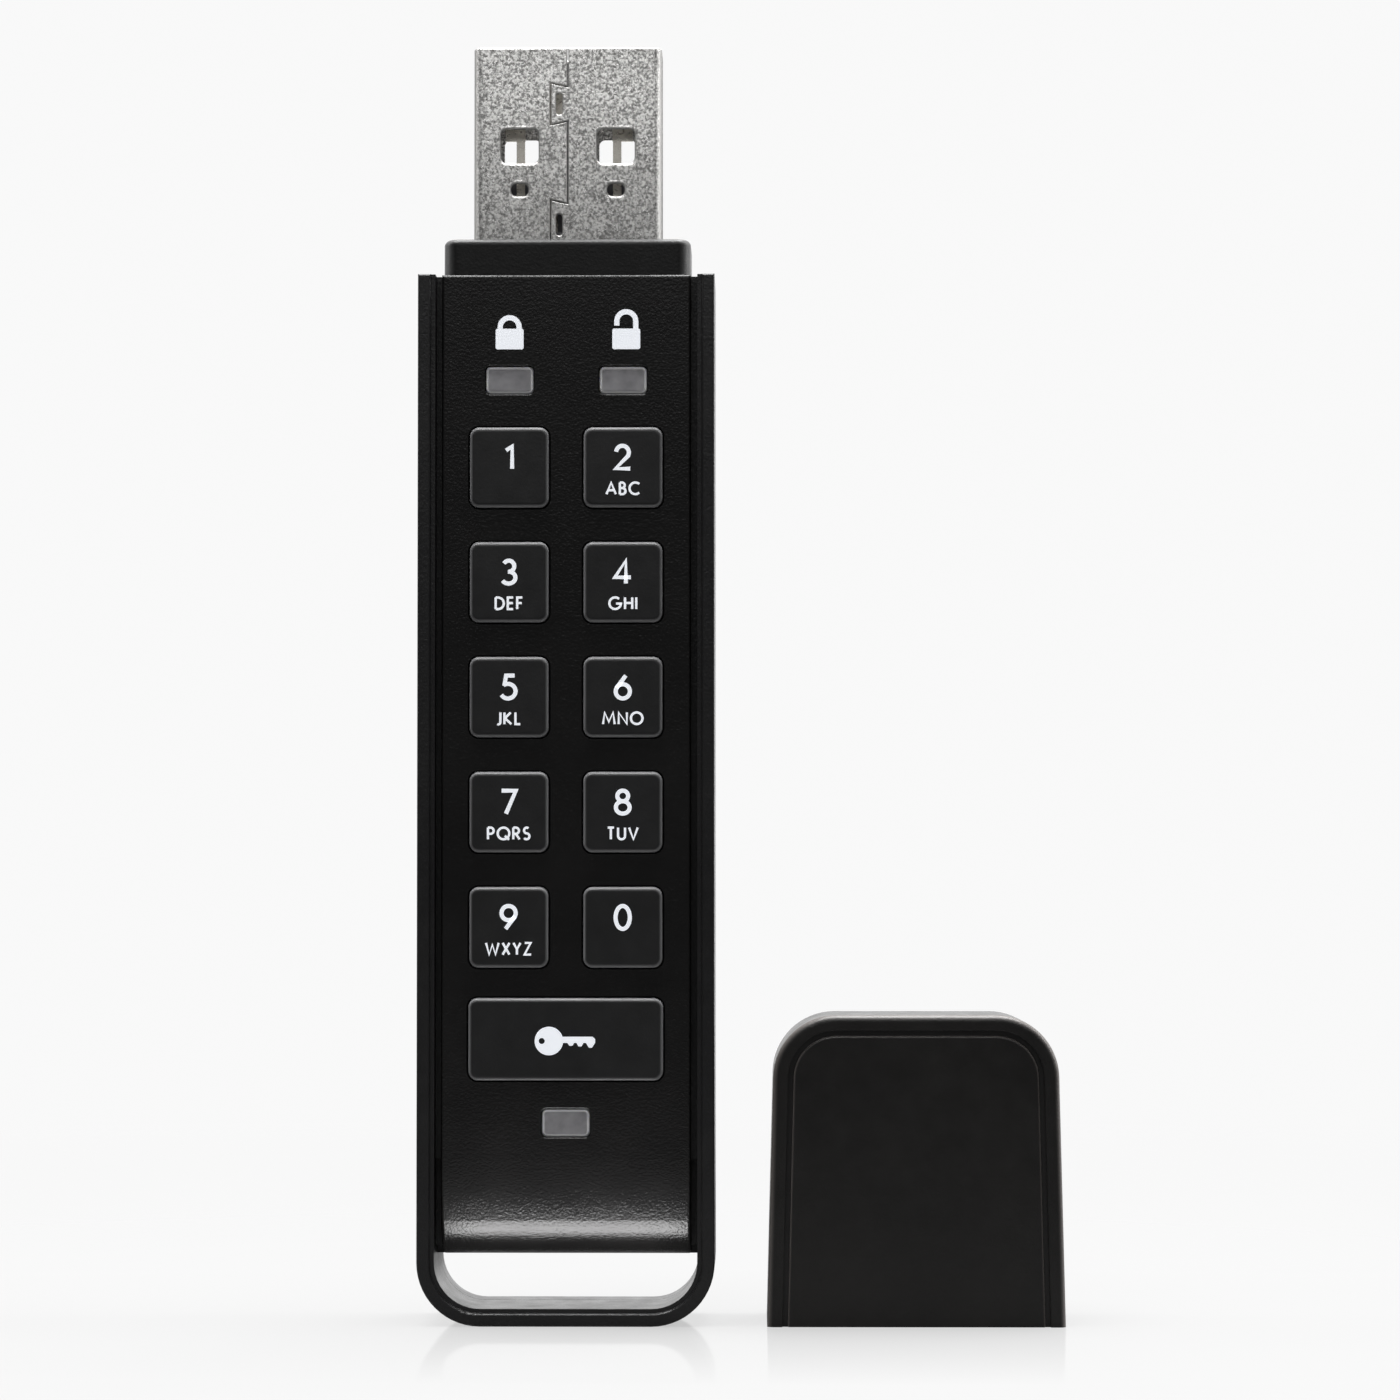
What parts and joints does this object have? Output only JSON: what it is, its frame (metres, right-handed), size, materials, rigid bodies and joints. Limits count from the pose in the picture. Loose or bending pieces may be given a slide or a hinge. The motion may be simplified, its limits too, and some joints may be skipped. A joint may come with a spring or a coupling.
{
  "type": "usb flash drive",
  "caption": "Keypad-locked USB flash drive standing on its lanyard loop, plug up, with its separate cap standing beside it.",
  "frame": {"origin": "middle of the flat end of the lanyard loop, which the drive stands on", "axes": "+Z along the drive towards the plug, -Y is the keypad side, +X to the right seen from the keypad side"},
  "size_m": [0.0409, 0.0088, 0.0813],
  "materials": {
    "case_black": "fine satin texture, black",
    "fascia_black": "fine sparkle texture, black",
    "collar_black": "satin black",
    "key_black": "matt black with white printed legends",
    "cap_black": "fine satin texture, black",
    "silicone": "matt silicone",
    "liner_black": "matt soft plastic",
    "plug_metal": "grained bright plated sheet",
    "insulator_black": "moulded, semi-matt",
    "contact_gold": "gold-plated",
    "dome_steel": "thin spring steel",
    "board_green": "solder mask",
    "chip_black": "moulded epoxy",
    "can_metal": "plated can",
    "ceramic_tan": "ceramic",
    "battery_wrap": "laminate pouch",
    "foam": "foam tape",
    "print_white": "white screen ink of the printed legends",
    "tab_nickel": "nickel strip",
    "lens_grey": "smoky translucent",
    "led_white": "moulded, clear"
  },
  "bodies": {
    "drive": {"main_frame": "case_black", "rear_cover": "case_black", "front_fascia": "fascia_black", "plug_collar": "collar_black", "plug_gasket": "silicone", "usb_shell": "plug_metal", "usb_insulator": "insulator_black", "usb_contacts": "contact_gold", "keypad_mat": "silicone", "key_domes": "dome_steel", "circuit_board": "board_green", "flash_chip": "chip_black", "controller_chip": "chip_black", "security_chip": "chip_black", "crystal": "can_metal", "board_passives": "ceramic_tan", "battery": "battery_wrap", "battery_pad": "foam", "battery_tabs": "tab_nickel", "lens_locked": "lens_grey", "led_locked": "led_white", "lens_unlocked": "lens_grey", "led_unlocked": "led_white", "lens_activity": "lens_grey", "led_activity": "led_white"},
    "key_1_body": {"key_1": "key_black"},
    "key_2_body": {"key_2": "key_black"},
    "key_3_body": {"key_3": "key_black"},
    "key_4_body": {"key_4": "key_black"},
    "key_5_body": {"key_5": "key_black"},
    "key_6_body": {"key_6": "key_black"},
    "key_7_body": {"key_7": "key_black"},
    "key_8_body": {"key_8": "key_black"},
    "key_9_body": {"key_9": "key_black"},
    "key_0_body": {"key_0": "key_black"},
    "key_symbol_body": {"key_symbol": "key_black"},
    "cap": {"cap_shell": "cap_black", "cap_liner": "liner_black"}
  },
  "joints": [
    {"name": "key_1_press", "type": "slide", "parent": "drive", "child": "key_1_body", "axis": [0, 1, 0], "range_m": [0, 0.00025], "stiffness_N_per_m": 4000, "deforming": ["keypad_mat", "key_domes"]},
    {"name": "key_2_press", "type": "slide", "parent": "drive", "child": "key_2_body", "axis": [0, 1, 0], "range_m": [0, 0.00025], "stiffness_N_per_m": 4000, "deforming": ["keypad_mat", "key_domes"]},
    {"name": "key_3_press", "type": "slide", "parent": "drive", "child": "key_3_body", "axis": [0, 1, 0], "range_m": [0, 0.00025], "stiffness_N_per_m": 4000, "deforming": ["keypad_mat", "key_domes"]},
    {"name": "key_4_press", "type": "slide", "parent": "drive", "child": "key_4_body", "axis": [0, 1, 0], "range_m": [0, 0.00025], "stiffness_N_per_m": 4000, "deforming": ["keypad_mat", "key_domes"]},
    {"name": "key_5_press", "type": "slide", "parent": "drive", "child": "key_5_body", "axis": [0, 1, 0], "range_m": [0, 0.00025], "stiffness_N_per_m": 4000, "deforming": ["keypad_mat", "key_domes"]},
    {"name": "key_6_press", "type": "slide", "parent": "drive", "child": "key_6_body", "axis": [0, 1, 0], "range_m": [0, 0.00025], "stiffness_N_per_m": 4000, "deforming": ["keypad_mat", "key_domes"]},
    {"name": "key_7_press", "type": "slide", "parent": "drive", "child": "key_7_body", "axis": [0, 1, 0], "range_m": [0, 0.00025], "stiffness_N_per_m": 4000, "deforming": ["keypad_mat", "key_domes"]},
    {"name": "key_8_press", "type": "slide", "parent": "drive", "child": "key_8_body", "axis": [0, 1, 0], "range_m": [0, 0.00025], "stiffness_N_per_m": 4000, "deforming": ["keypad_mat", "key_domes"]},
    {"name": "key_9_press", "type": "slide", "parent": "drive", "child": "key_9_body", "axis": [0, 1, 0], "range_m": [0, 0.00025], "stiffness_N_per_m": 4000, "deforming": ["keypad_mat", "key_domes"]},
    {"name": "key_0_press", "type": "slide", "parent": "drive", "child": "key_0_body", "axis": [0, 1, 0], "range_m": [0, 0.00025], "stiffness_N_per_m": 4000, "deforming": ["keypad_mat", "key_domes"]},
    {"name": "key_symbol_press", "type": "slide", "parent": "drive", "child": "key_symbol_body", "axis": [0, 1, 0], "range_m": [0, 0.00025], "stiffness_N_per_m": 4000, "deforming": ["keypad_mat", "key_domes"]},
    {"name": "cap_lift", "type": "slide", "parent": "drive", "child": "cap", "axis": [0, 0, 1], "range_m": [0, 0.085]}
  ]
}
